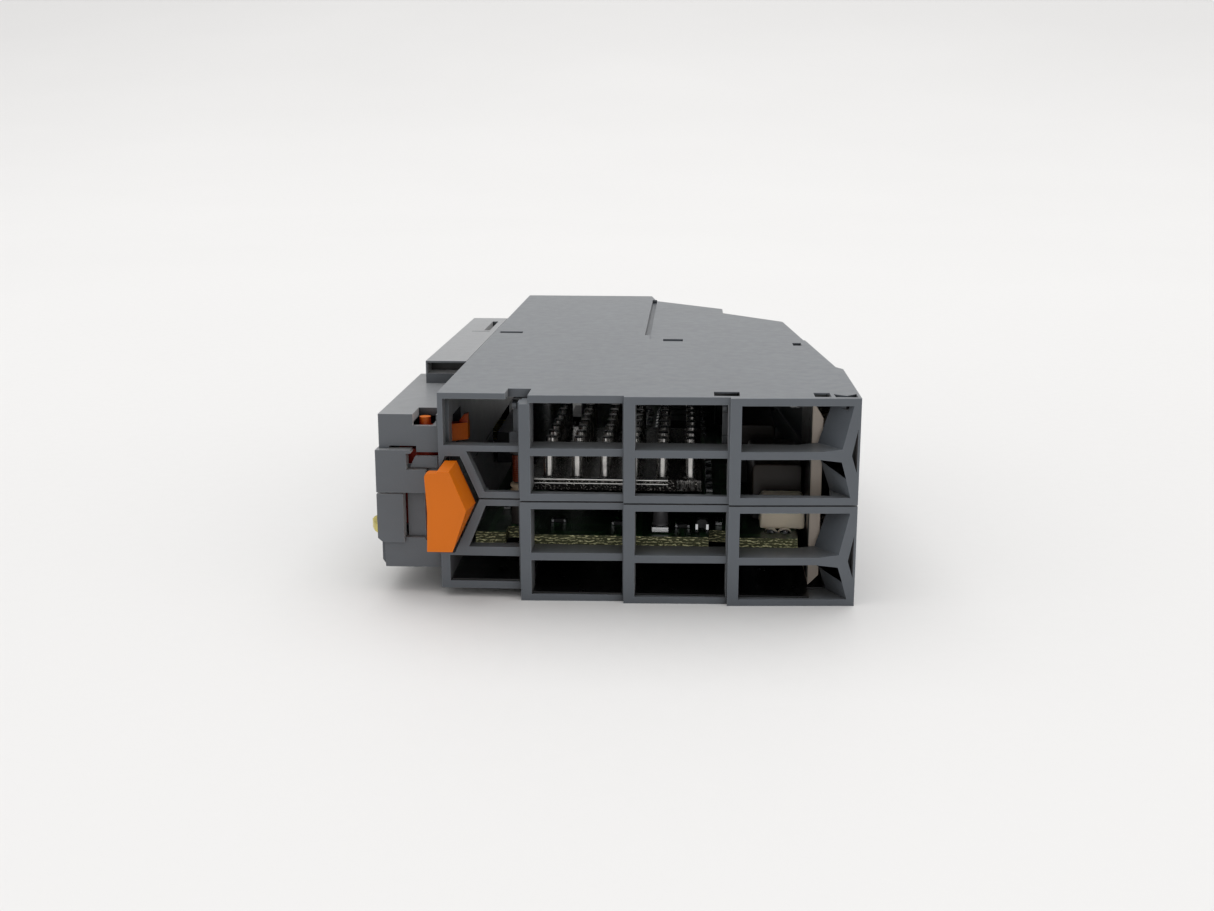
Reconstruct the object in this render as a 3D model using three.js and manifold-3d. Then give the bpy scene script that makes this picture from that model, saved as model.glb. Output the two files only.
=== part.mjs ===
// Two-slot control relay module for a 35 mm rail: a vented electronics housing plugged onto a bus
// base that carries an orange locking lever. It lies on its side.
//
// Working frame while the solids are made, in millimetres:
//   X = 0 at the housing's rear face, +X towards the front (terminal side)
//   Y = 0 at the vented end, +Y towards the other end
//   Z = 0 at the lower side face, +Z across the two slots
// At the end everything is shifted so that the origin is the centre of the bounding box's bottom.
import * as THREE from 'three';
import { mergeVertices } from 'three/addons/utils/BufferGeometryUtils.js';
import Module from 'manifold-3d';

const wasm = await Module();
wasm.setup();

// ---------------------------------------------------------------- driving dimensions
const SLOT = 12.5;                       // width of one slot on the rail
const WIDTH = 2 * SLOT;                  // two slots, side face to side face
const LENGTH = 99;                       // housing, vented end to far end
const DEPTH = 49.3;                      // housing, rear face to front face
const WALL = 1.0;                        // housing wall
const FLOOR = 0.8;                       // housing lower side wall
const SEAM_GAP = 0.2;                    // joint line between two half shells
const GRILLE_DEPTH = 3.9;                // vent bars, front to back
const FIRST_DEPTH = 1.8;                 // the same, in the column beside the lever
const HOUSING_SEAM = 12.25;              // Z where the two housing shells meet
const SEAM_BAR_DEPTH = 0.9;              // vent bars beside that joint, front to back
const LOW_HALF = [0, HOUSING_SEAM - SEAM_GAP / 2];
const HIGH_HALF = [HOUSING_SEAM + SEAM_GAP / 2, WIDTH];

const RAIL_WIDTH = 35;
const RAIL_NEAR = 30;                    // Y of the rail's near edge
const RAIL_FAR = RAIL_NEAR + RAIL_WIDTH;
const SEAT_X = -5.4;                     // face that rests on the rail
const HOOK_LIP_X = -6.7;                 // face of the hooks behind the rail's 1 mm flange
const BASE_REAR = -7.6;
const BASE_FRONT = -0.2;
const BASE_END = 88;
const BASE_Z = [3.2, 22.0];              // base body, side to side
const BASE_WALL = 0.9;
const CROWN_Y = [23.9, 67];              // wider part of the base that meets the next base
const CROWN_X = [-5.5, -0.08];
const CROWN_TOP = WIDTH;

const PIVOT = [-2.0, 5.6];               // lever axis, X and Y
const PIN_R = 0.68;
const BORE_R = 0.75;
const HUB_R = 1.6;
const CAM_R = 3.2;                       // lever axis to the centre of its cam nose
const CAM_NOSE = 0.7;

const BOARD = [5.5, 7.0];                // main board, lower and upper face
const POWER_BOARD = [9.4, 10.8];
const SINK_PLATE = [12.6, 14.1];
const SINK_TOP = 18.35;
const SINK_PITCH = 3.42;
const SINK_PIN_R = 0.66;
const SINK_COLUMNS = 6;
const SINK_ROWS = 9;

// ---------------------------------------------------------------- colours
const paint = (color, roughness, metalness = 0) =>
  new THREE.MeshStandardMaterial({ color, roughness, metalness });
const GREY = paint(0x696e75, 0.62);
const DARK_GREY = paint(0x4b4f55, 0.6);
const BLACK = paint(0x17181a, 0.5);
const ORANGE = paint(0xde7e16, 0.5);
const CREAM = paint(0xd8cbb4, 0.5);
const BROWN = paint(0x4c3b31, 0.45);
const BOARD_GREEN = paint(0x2c4a2e, 0.55);
const SINK_BLACK = paint(0x1c1d1f, 0.35, 0.8);
const TIN = paint(0xb9bcc0, 0.3, 1);
const BRASS = paint(0xb9a53f, 0.35, 1);
const STEEL = paint(0x9a9da1, 0.35, 1);
const COPPER = paint(0x8a4a24, 0.4, 0.6);
const PAD_GREY = paint(0xa7a9b2, 0.8);

// ---------------------------------------------------------------- geometry helpers
// A closed prism between two outlines of equal point count, along one axis. The outline's two
// coordinates are the remaining axes in X, Y, Z order.
function prism(axis, low, high, outline, endOutline = outline) {
  const start = outline.map(([u, v]) => new THREE.Vector2(u, v));
  const end = endOutline.map(([u, v]) => new THREE.Vector2(u, v));
  if (THREE.ShapeUtils.isClockWise(start)) {
    start.reverse();
    end.reverse();
  }
  const place = {
    x: (u, v, w) => [w, u, v],
    y: (u, v, w) => [u, w, v],
    z: (u, v, w) => [u, v, w],
  }[axis];
  const count = start.length;
  const positions = [
    ...start.map((p) => place(p.x, p.y, low)),
    ...end.map((p) => place(p.x, p.y, high)),
  ].flat();
  const faces = [];
  for (const [a, b, c] of THREE.ShapeUtils.triangulateShape(start, [])) {
    faces.push([a, c, b], [a + count, b + count, c + count]);
  }
  for (let i = 0; i < count; i += 1) {
    const j = (i + 1) % count;
    faces.push([i, j, j + count], [i, j + count, i + count]);
  }
  // The Y axis swaps the handedness of the outline's plane.
  const turned = axis === 'y' ? faces.map(([a, b, c]) => [a, c, b]) : faces;
  const geometry = new THREE.BufferGeometry();
  geometry.setAttribute('position', new THREE.Float32BufferAttribute(positions, 3));
  geometry.setIndex(turned.flat());
  return geometry;
}

function box(x0, x1, y0, y1, z0, z1) {
  const geometry = new THREE.BoxGeometry(x1 - x0, y1 - y0, z1 - z0);
  return geometry.translate((x0 + x1) / 2, (y0 + y1) / 2, (z0 + z1) / 2);
}

function circle(u, v, radius, sides) {
  const points = [];
  for (let i = 0; i < sides; i += 1) {
    const angle = (2 * Math.PI * (i + 0.5)) / sides;
    points.push([u + radius * Math.cos(angle), v + radius * Math.sin(angle)]);
  }
  return points;
}

function toManifold(geometry) {
  const bare = geometry.clone();
  bare.deleteAttribute('normal');
  bare.deleteAttribute('uv');
  const welded = mergeVertices(bare, 1e-4);
  return new wasm.Manifold(new wasm.Mesh({
    numProp: 3,
    vertProperties: new Float32Array(welded.getAttribute('position').array),
    triVerts: new Uint32Array(welded.getIndex().array),
  }));
}

// The union of the solids, less every cutter.
function carve(solids, cutters = []) {
  let body = toManifold(solids[0]);
  for (const solid of solids.slice(1)) {
    body = body.add(toManifold(solid));
  }
  for (const cutter of cutters) {
    body = body.subtract(toManifold(cutter));
  }
  const mesh = body.getMesh();
  const geometry = new THREE.BufferGeometry();
  geometry.setAttribute('position', new THREE.Float32BufferAttribute(mesh.vertProperties, 3));
  geometry.setIndex(Array.from(mesh.triVerts));
  return geometry;
}

const parts = [];
function add(name, material, geometry) {
  parts.push({ name, material, geometry });
}

// ---------------------------------------------------------------- housing outline
// X of the sloping terminal face at a given Y.
const FACE_START = [48.4, 22];
const FACE_END = [44.3, 66.8];
const FACE_SLOPE = (FACE_END[0] - FACE_START[0]) / (FACE_END[1] - FACE_START[1]);
const faceX = (y) => FACE_START[0] + FACE_SLOPE * (y - FACE_START[1]);

// The vented end is a shallow sawtooth, one tooth to each column of vents.
const TEETH = [
  { x: [0, 9.75], y: [1.1, 1.1] },
  { x: [9.75, 22.0], y: [0, 0.45] },
  { x: [22.0, 34.3], y: [-0.35, 0.1] },
  { x: [34.3, DEPTH], y: [-0.6, 0.3] },
];
const HOUSING_OUTLINE = [
  ...TEETH.flatMap(({ x, y }) => [[x[0], y[0]], [x[1], y[1]]]),
  [49.2, 20.5],
  FACE_START,
  FACE_END,
  [35, 77],
  [35, 82.5],
  [23.3, 93.3],
  [22.5, LENGTH - 0.2],
  [0, LENGTH],
];
const CAVITY_OUTLINE = [
  [WALL, TEETH[0].y[0] + FIRST_DEPTH],
  [TEETH[0].x[1], TEETH[0].y[0] + FIRST_DEPTH],
  [TEETH[0].x[1], GRILLE_DEPTH],
  [DEPTH - WALL, GRILLE_DEPTH],
  [DEPTH - WALL - 0.1, 20.3],
  [FACE_START[0] - WALL, 21.7],
  [FACE_END[0] - WALL, 66.3],
  [34, 76.6],
  [34, 82],
  [22.4, 92.7],
  [21.6, LENGTH - GRILLE_DEPTH],
  [WALL, LENGTH - GRILLE_DEPTH],
];

// ---------------------------------------------------------------- vents
// Each slot has a low and a high row of vents. The rows' Z ranges are nearly the same in both slots.
const LOWER_ROWS = { low: [0.8, 5.05], high: [5.95, 11.35] };
const UPPER_ROWS = { low: [13.2, 17.78], high: [18.68, 24.1] };
const PLAIN_COLUMNS = [[11.0, 21.85], [23.3, 34.1]];
const FORK_COLUMN = 35.6;                // left side of the column that ends in the fork
const VENT_Y = [-3, GRILLE_DEPTH + 0.1];
const FORK_FACE = 0.2;                   // Y of the fork's front face

// Plain vents of one slot, plus the pair whose right side is an arm of the fork. The arms lean
// back and inwards, so those two openings narrow with depth.
function slotVents({ low, high }) {
  const vents = [];
  for (const row of [low, high]) {
    for (const [x0, x1] of PLAIN_COLUMNS) {
      vents.push(box(x0, x1, ...VENT_Y, ...row));
    }
  }
  // Outlines of the pair beside the fork: tip is the arm's far end and root is where it joins.
  const lowVent = (tip, root) => [
    [FORK_COLUMN, low[0]], [tip, low[0]], [root, low[1] - 0.3], [root - 2.6, low[1]], [FORK_COLUMN, low[1]],
  ];
  const highVent = (tip, root) => [
    [FORK_COLUMN, high[0]], [root - 2.4, high[0]], [root, high[0] + 0.3], [tip, high[1]], [FORK_COLUMN, high[1]],
  ];
  const lowFront = lowVent(48.45, 47.25);
  const highFront = highVent(48.5, 47.3);
  vents.push(prism('y', -3, FORK_FACE + 0.01, lowFront));
  vents.push(prism('y', -3, FORK_FACE + 0.01, highFront));
  vents.push(prism('y', FORK_FACE, VENT_Y[1], lowFront, lowVent(46.3, 44.9)));
  vents.push(prism('y', FORK_FACE, VENT_Y[1], highFront, highVent(46.3, 44.7)));
  // Shallow triangular pocket between the fork and the edge of the housing.
  const middle = (low[1] + high[0]) / 2;
  vents.push(prism('y', -3, 2.4, [[48.38, middle], [49.03, middle - 2.1], [49.03, middle + 3.2]]));
  return vents;
}

// Vents of the first column, which make room for the lever's pocket.
const FIRST_COLUMN_RIGHT = 9.5;
function firstColumnVents() {
  const y = [-3, TEETH[0].y[0] + FIRST_DEPTH + 0.1];
  return [
    box(0.6, FIRST_COLUMN_RIGHT, ...y, 18.7, 24.3),
    prism('y', ...y, [[3.3, 18.0], [5.4, 13.1], [FIRST_COLUMN_RIGHT, 13.1], [FIRST_COLUMN_RIGHT, 18.0]]),
    prism('y', ...y, [[5.5, 11.4], [3.4, 6.3], [FIRST_COLUMN_RIGHT, 6.3], [FIRST_COLUMN_RIGHT, 11.4]]),
    box(1.1, FIRST_COLUMN_RIGHT, ...y, 2.0, 5.2),
  ];
}

// Vents through the far end wall, in the same rows.
function farVents({ low, high }) {
  const vents = [];
  for (const row of [low, high]) {
    for (const x0 of [1.4, 11.9]) {
      vents.push(box(x0, x0 + 9.2, LENGTH - GRILLE_DEPTH - 0.2, LENGTH + 1, ...row));
    }
  }
  return vents;
}

// ---------------------------------------------------------------- housing shells
const LEVER_POCKET = [
  [-1, 15.7], [-0.05, 15.7], [0.75, 17.4], [2.55, 17.4], [4.8, 12.2], [1.7, 5.5], [-1, 5.5],
];
const PANEL_Y = [5.0, 19.0];
const PANEL_Z = [2.2, WIDTH - 2.2];
const HEADER_Y = [24.6, 63.4];
const HEADER_MARGIN = 1.3;               // side wall to terminal header
const BUS_Y = [40.5, 59.5];              // plug opening in the housing's rear wall

// Opening in the sloping face for one terminal header.
function headerOpening(z0) {
  const [y0, y1] = [HEADER_Y[0] - 0.2, HEADER_Y[1] + 0.2];
  const plan = [[faceX(y0) - 3.4, y0], [60, y0], [60, y1], [faceX(y1) - 3.4, y1]];
  return prism('z', z0 + HEADER_MARGIN, z0 + SLOT - HEADER_MARGIN, plan);
}

// Openings common to both shells.
const sharedOpenings = (z0, rows) => [
  ...slotVents(rows),
  ...firstColumnVents(),
  ...farVents(rows),
  prism('y', -3, 9.6, LEVER_POCKET),
  headerOpening(z0),
  box(DEPTH - 2, DEPTH + 1, PANEL_Y[0] - 0.15, PANEL_Y[1] + 0.15, PANEL_Z[0] - 0.15, PANEL_Z[1] + 0.15),
];

function upperHousing() {
  const top = HIGH_HALF[1];
  const ceiling = top - WALL;
  const label = [[23.6, 45.4], [60, 45.4], [60, 120], [23.6, 120]];
  // Thins the side face from inside, behind a window in it.
  const undercut = (x0, x1) => box(x0, x1, 3.5, 6.4, ceiling - 0.1, top - 0.18);
  // Relief behind the bars beside the joint; the first column keeps its frame around the lever.
  const relief = TEETH.map(({ x, y }) => box(Math.max(x[0], 5.7) - 0.01, Math.min(x[1], 46.3),
    Math.max(...y) + SEAM_BAR_DEPTH, GRILLE_DEPTH + 0.1, 0, UPPER_ROWS.low[0]));
  return carve([prism('z', ...HIGH_HALF, HOUSING_OUTLINE)], [
    prism('z', 0, ceiling, CAVITY_OUTLINE),
    ...sharedOpenings(SLOT, UPPER_ROWS),
    ...relief,
    // Notch and windows that the lower shell's snap arms reach into.
    box(8.0, 10.8, -3, 4.3, ceiling - 0.05, top + 1),
    box(32.4, 35.4, 0.95, 3.6, ceiling - 0.1, top + 1),
    box(44.0, 45.9, 1.0, 3.6, ceiling - 0.1, top + 1),
    undercut(32.4, 35.4),
    undercut(44.0, 45.9),
    prism('z', ceiling - 0.6, top + 1, [[46.4, 1.0], [48.95, 1.0], [48.95, 3.1], [47.7, 1.9], [46.3, 2.9]]),
    // Slots where the side face was latched to its neighbour.
    box(0.8, 4.3, 50.4, 52.0, ceiling - 1, top + 1),
    box(25.6, 28.5, 43.4, 46.8, ceiling - 1, top + 1),
    box(44.2, 45.4, 40.2, 42.6, ceiling - 1, top + 1),
    // Label field and the groove beside it.
    prism('z', top - 0.2, top + 1, label),
    box(22.8, 23.6, 49.5, 93.0, top - 0.6, top + 1),
    // Clearance for the lever's upper ear in the rear wall.
    box(-1, WALL + 0.2, 5.2, 12, 17.3, 21.4),
  ]);
}

// A snap arm standing on the lower shell's floor. Its top is wider, and carries a hook that is
// turned towards the vents; heel is a small step in front of the wide part.
function snapArm({ x, wideX, y, foot, top, heel }) {
  return [
    box(...x, y, y + 1.2, foot, top),
    box(...wideX, y, y + 1.2, 18.2, top),
    box(...heel, y - 0.35, y + 0.1, 18.2, 19.6),
    prism('x', wideX[0], wideX[0] + 0.5, [[y + 0.6, top], [y - 0.9, top - 0.5], [y - 0.9, top - 1.0], [y + 0.6, top - 1.5]]),
  ];
}

function lowerHousing() {
  const step = 1.1;                      // the floor is raised behind the first column
  const stepY = 30;
  const post = (x, y) => prism('z', 0.4, BOARD[0] - 0.1, circle(x, y, 1.6, 16));
  const rib = (y) => box(6, 40, y, y + 0.9, 0.4, 2.6);
  return carve([
    carve([prism('z', ...LOW_HALF, HOUSING_OUTLINE)], [
      prism('z', FLOOR, 30, CAVITY_OUTLINE),
      box(-1, TEETH[0].x[1], -3, stepY, -1, step),
      ...sharedOpenings(0, LOWER_ROWS),
      box(-1, WALL + 0.2, ...BUS_Y, 7.2, 30),
    ]),
    box(0.02, TEETH[0].x[1] + 0.9, 1.12, stepY + 0.9, step, step + 0.9),
    ...snapArm({ x: [8.95, 10.1], wideX: [8.45, 10.1], y: 5.2, foot: step + 0.4, top: 23.7, heel: [8.0, 9.0] }),
    ...snapArm({ x: [34.4, 35.5], wideX: [33.5, 35.5], y: 4.4, foot: 0.4, top: 23.7, heel: [33.5, 34.4] }),
    ...[[13, 34], [38, 21], [36, 62], [8, 70], [18, 86]].map(([x, y]) => post(x, y)),
    ...[34, 46, 58].map(rib),
  ]);
}

// ---------------------------------------------------------------- front of the module
const LED_ROWS = [4.4, 7.4, 10.4, 13.4, 16.4];
const LED_COLUMNS = [SLOT / 2, SLOT * 1.5];

function statusPanel() {
  const windows = [];
  for (const y of LED_ROWS) {
    for (const z of LED_COLUMNS) {
      windows.push(box(DEPTH - 3, DEPTH + 1, y + 1.0, y + 2.2, z - 1.9, z + 1.9));
    }
  }
  const panel = box(DEPTH - 1.1, DEPTH - 0.2, PANEL_Y[0], PANEL_Y[1], PANEL_Z[0], PANEL_Z[1]);
  return carve([panel], windows);
}

// A cream plate with one light pipe to each window of the status panel. Its long edges are pointed.
function lightGuide() {
  const pipes = [];
  for (const y of LED_ROWS) {
    for (const z of LED_COLUMNS) {
      pipes.push(box(45.2, DEPTH - 0.5, y + 1.15, y + 2.05, z - 1.7, z + 1.7));
    }
  }
  const plate = [[44.1, 1.1], [45.4, 2.4], [45.4, 21.8], [44.5, 23.3], [44.1, 23.3]];
  return carve([prism('y', 4.5, 18.6, plate), ...pipes]);
}

// Terminal header: six plug-in chambers along the sloping face, each open to the front.
const CHAMBERS = 6;
const CHAMBER_PITCH = 6.3;
const CHAMBER_START = 28.2;
const chamberY = (i) => CHAMBER_START + i * CHAMBER_PITCH;

function terminalHeader(z0) {
  const slice = (front, back) => [
    [faceX(HEADER_Y[0]) - front, HEADER_Y[0]], [faceX(HEADER_Y[1]) - front, HEADER_Y[1]],
    [faceX(HEADER_Y[1]) - back, HEADER_Y[1]], [faceX(HEADER_Y[0]) - back, HEADER_Y[0]],
  ];
  const z = [z0 + HEADER_MARGIN + 0.2, z0 + SLOT - HEADER_MARGIN - 0.2];
  const middle = z0 + SLOT / 2;
  const cutters = [];
  for (let i = 0; i < CHAMBERS; i += 1) {
    const y = chamberY(i);
    cutters.push(box(faceX(y) - 2.2, 60, y - 2.4, y + 2.4, middle - 3.4, middle + 3.4));
    cutters.push(box(30, 60, y - 1.4, y + 1.4, middle - 0.4, middle + 0.4));
  }
  return carve([prism('z', ...z, slice(0.3, 3.0))], cutters);
}

function terminalContact(i, z0) {
  const y = chamberY(i);
  const middle = z0 + SLOT / 2;
  const tip = faceX(y) - 0.7;
  return prism('z', middle - 0.25, middle + 0.25, [
    [tip - 4.0, y - 1.2], [tip - 0.6, y - 1.2], [tip, y - 0.7], [tip, y + 0.7],
    [tip - 0.6, y + 1.2], [tip - 4.0, y + 1.2],
  ]);
}

// ---------------------------------------------------------------- boards and components
function mainBoard() {
  return prism('z', ...BOARD, [
    [3.6, 5.2], [7.3, 5.2], [7.3, 7.8], [10.4, 7.8], [10.4, 4.3], [32.1, 4.3], [32.1, 7.4],
    [35.8, 7.4], [35.8, 4.3], [42.8, 4.3], [42.8, 27.5], [39.4, 62], [33.2, 73],
    [33.2, 81], [21.2, 91.6], [20.6, 93.6], [3.6, 93.6],
  ]);
}

function heatSink() {
  const [x0, y0] = [12.7, 5.4];
  const margin = 2.4;
  const [plateLow, plateTop] = SINK_PLATE;
  const plate = box(x0 - margin, x0 + (SINK_COLUMNS - 1) * SINK_PITCH + 1.4,
    y0 - 1.1, y0 + (SINK_ROWS - 1) * SINK_PITCH + 1.4, plateLow, plateTop);
  const grooveAt = (plateLow + plateTop) / 2 + 0.15;
  const groove = box(x0 - margin - 1, 24.5, y0 - 2, y0 - 0.85, grooveAt, grooveAt + 0.22);
  const pins = [];
  for (let column = 0; column < SINK_COLUMNS; column += 1) {
    for (let row = 0; row < SINK_ROWS; row += 1) {
      const at = [x0 + column * SINK_PITCH, y0 + row * SINK_PITCH];
      pins.push(prism('z', plateTop - 0.3, SINK_TOP, circle(...at, SINK_PIN_R, 8)));
    }
  }
  return carve([plate, ...pins], [groove]);
}

// A thin black sheet on the lower shell's floor. It steps up behind the first column, and its
// fingers reach between the vent bars.
function insulatingSheet() {
  const profile = [[1.3, 2.02], [10.7, 2.02], [10.7, 0.82], [46.0, 0.82], [46.0, 1.0], [10.9, 1.0], [10.9, 2.2], [1.3, 2.2]];
  const bars = [[9.4, 11.1], [21.75, 23.4], [34.0, 35.7]];
  return carve([prism('y', 0.5, 32.2, profile)], [
    ...bars.map(([x0, x1]) => box(x0, x1, 0, GRILLE_DEPTH + 0.1, 0, 3)),
    box(0, FIRST_COLUMN_RIGHT + 1, 0, 1.4, 0, 3),
    box(8.8, 10.3, 5.0, 6.6, 0, 3),
    box(34.2, 35.8, 3, 5.8, 0, 3),
    box(44.0, 47, 0, GRILLE_DEPTH + 0.1, 0, 3),
    prism('z', 0, 3, circle(38, 21, 1.8, 16)),
  ]);
}

// A block with its long upper edges cut at 45 degrees.
function chip(x, y, z, bevel) {
  return prism('y', ...y, [
    [x[0], z[0]], [x[1], z[0]], [x[1], z[1] - bevel], [x[1] - bevel, z[1]],
    [x[0] + bevel, z[1]], [x[0], z[1] - bevel],
  ]);
}

function choke() {
  const at = [8.65, 9.2];
  return carve([
    prism('z', 7.1, 12.3, circle(...at, 1.2, 16)),
    prism('z', 12.2, 16.1, circle(...at, 0.95, 16)),
    prism('z', 16.0, 16.6, circle(...at, 1.2, 16)),
  ]);
}

// An electrolytic can on its moulded foot.
function capacitor(x, y, radius, top) {
  const half = radius + 0.15;
  return carve([
    box(x - half, x + half, y - half, y + half, BOARD[1] + 0.1, BOARD[1] + 0.9),
    prism('z', BOARD[1] + 0.8, top, circle(x, y, radius, 20)),
  ]);
}

function busPlug() {
  return carve([
    box(1.4, 5.2, 41.2, 58.8, BOARD[1] + 0.1, 11.6),
    box(-1.6, 1.5, 42.4, 57.6, 8.7, 10.2),
  ]);
}

// ---------------------------------------------------------------- bus base
const BASE_OUTLINE = [
  [BASE_REAR + 0.1, 3.0], [BASE_FRONT, 3.0], [BASE_FRONT, BASE_END], [-5.6, BASE_END],
  [BASE_REAR, BASE_END - 3], [BASE_REAR, RAIL_FAR + 5.2], [SEAT_X, RAIL_FAR + 5.2],
  [SEAT_X, RAIL_NEAR], [HOOK_LIP_X, RAIL_NEAR], [HOOK_LIP_X, RAIL_NEAR + 1.2],
  [BASE_REAR, RAIL_NEAR + 1.2],
];
const BASE_CAVITY = [
  [BASE_REAR + 1.0, 3.7], [BASE_FRONT - BASE_WALL, 3.7], [BASE_FRONT - BASE_WALL, BASE_END - 1],
  [-5.2, BASE_END - 1], [-6.6, BASE_END - 3.4], [-6.6, RAIL_FAR + 6.2],
  [SEAT_X + 1.0, RAIL_FAR + 6.2], [SEAT_X + 1.0, 28.4], [-6.6, 28.4],
];
const PAD_X = [-7.8, -1.8];               // raised pad on the base's near face
const PAD_TOP = 17.8;
const NOTCH_Z = [15.4, 17.4];            // notch beside the lever, with the detent bar in it
const JAW_WINDOW = box(SEAT_X - 1, SEAT_X + 1.2, RAIL_FAR - 0.2, RAIL_FAR + 5.2, 7.7, SLOT);
const SOCKET_Y = [40, 60];
const SOCKET_Z = [7.4, 17.6];

// Where the lever's hub and ears turn, through the base's front wall.
const HUB_CLEARANCE = box(-1.2, 0.5, 3.75, 9.6, 6.6, 20.5);
const SOCKET_WINDOW = box(-1.6, 0.5, SOCKET_Y[0] - 0.2, SOCKET_Y[1] + 0.2, SOCKET_Z[0] - 0.2, SOCKET_Z[1] + 0.2);

function baseUpper() {
  const [low, high] = [SLOT + SEAM_GAP / 2, BASE_Z[1]];
  const body = carve([
    prism('z', low, high, BASE_OUTLINE),
    box(...CROWN_X, ...CROWN_Y, low, CROWN_TOP),
    box(...PAD_X, 2.0, 3.4, low, NOTCH_Z[0] + 0.1),
    box(PAD_X[0], -3.55, 2.0, 3.4, low, PAD_TOP),
    prism('z', low, PAD_TOP, [[PAD_X[0], 2.0], [-7.2, 2.0], [-7.2, 20], [BASE_REAR, 20]]),
  ], [
    prism('z', 0, high - 1, BASE_CAVITY),
    box(CROWN_X[0] + 1, CROWN_X[1] - 1, CROWN_Y[0] + 4, CROWN_Y[1] - 1, 0, CROWN_TOP - 1),
    HUB_CLEARANCE,
    SOCKET_WINDOW,
    // Corner notch over the end of the lever's hub.
    box(-3.35, -0.5, 2, 7.2, 20.6, high + 1),
    // Notch beside the lever, and the slot around the pad's corner that runs into it.
    box(-4.1, 0.5, 1, 4.0, ...NOTCH_Z),
    box(-6.3, -3.0, 2.5, 3.8, PAD_TOP, PAD_TOP + 0.35),
    box(-3.55, -3.0, 2.5, 3.8, NOTCH_Z[1] - 0.1, PAD_TOP + 0.1),
    // Dark pocket in the near face of the crown, then the slot and score line on its top.
    box(CROWN_X[0] + 0.2, CROWN_X[1] + 0.2, 22, CROWN_Y[0] + 3, 23.3, CROWN_TOP - 0.25),
    box(-1.9, -1.0, 53, 63, CROWN_TOP - 2, CROWN_TOP + 1),
    box(-3.6, -0.9, 51.8, 52.1, CROWN_TOP - 0.3, CROWN_TOP + 1),
  ]);
  // Detent bar across the notch, held at its lower left corner.
  const bar = [[-3.75, 15.6], [-0.4, 15.6], [-0.4, 16.95], [-3.1, 16.95]];
  return carve([body, prism('y', 2.6, 3.3, bar), box(-4.6, -3.4, 2.9, 3.3, 15.6, 15.9)]);
}

function baseLower() {
  const [low, high] = [BASE_Z[0], SLOT - SEAM_GAP / 2];
  const padRight = -4.6;
  const ledge = 6.9;                     // top of the block that stands out below the pad
  const corner = [[-9, low - 1], [-7.0, low - 1], [-7.0, low], [-7.6, low + 0.9], [-9, low + 0.9]];
  const body = carve([
    prism('z', low, high, BASE_OUTLINE),
    box(...CROWN_X, ...CROWN_Y, 0, high),
    prism('y', 2.0, 20, [[PAD_X[0], high], [PAD_X[0], 6.9], [-7.2, 6.4], [-7.0, 6.4], [-7.0, high]]),
    box(-7.2, padRight, 2.0, 3.4, 6.4, high),
    box(-7.05, -0.3, 2.5, 3.4, low, ledge),
  ], [
    box(padRight, padRight + 0.4, 1, 3.9, ledge, 30),
    prism('z', low + 1, 30, BASE_CAVITY),
    box(CROWN_X[0] + 1, CROWN_X[1] - 1, CROWN_Y[0] + 1, CROWN_Y[1] - 1, 1, 30),
    prism('y', 0, 28, corner),
    HUB_CLEARANCE,
    SOCKET_WINDOW,
    JAW_WINDOW,
    // Recess in which the lever's arm swings.
    box(-2.1, 0.5, 1, 4.0, 6.6, 30),
  ]);
  const boss = prism('z', low + 0.5, 6.6, circle(...PIVOT, 1.5, 24));
  const bore = prism('z', 4.6, 7, circle(...PIVOT, BORE_R, 24));
  return carve([body, boss], [bore]);
}

function busSocket() {
  const body = box(-2.0, -0.35, ...SOCKET_Y, ...SOCKET_Z);
  return carve([body], [box(-1.8, 0, 42.1, 57.9, 8.4, 10.5), box(-1.4, 0, 42.1, 57.9, 12.8, 14.6)]);
}

// A strip bent out behind the base so that it presses on the rail plate.
function groundSpring() {
  const bow = [[-8.5, 18.2], [-8.6, 14.0], [-9.3, 11.6], [-9.9, 9.6], [-9.9, 8.6], [-9.3, 7.0], [-8.5, 5.8]];
  const inner = [[-8.2, 6.1], [-8.9, 7.3], [-9.4, 8.8], [-9.4, 9.4], [-8.9, 11.2], [-8.2, 13.6], [-8.2, 18.2]];
  return prism('z', 6.3, 7.5, [...bow, ...inner]);
}

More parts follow.
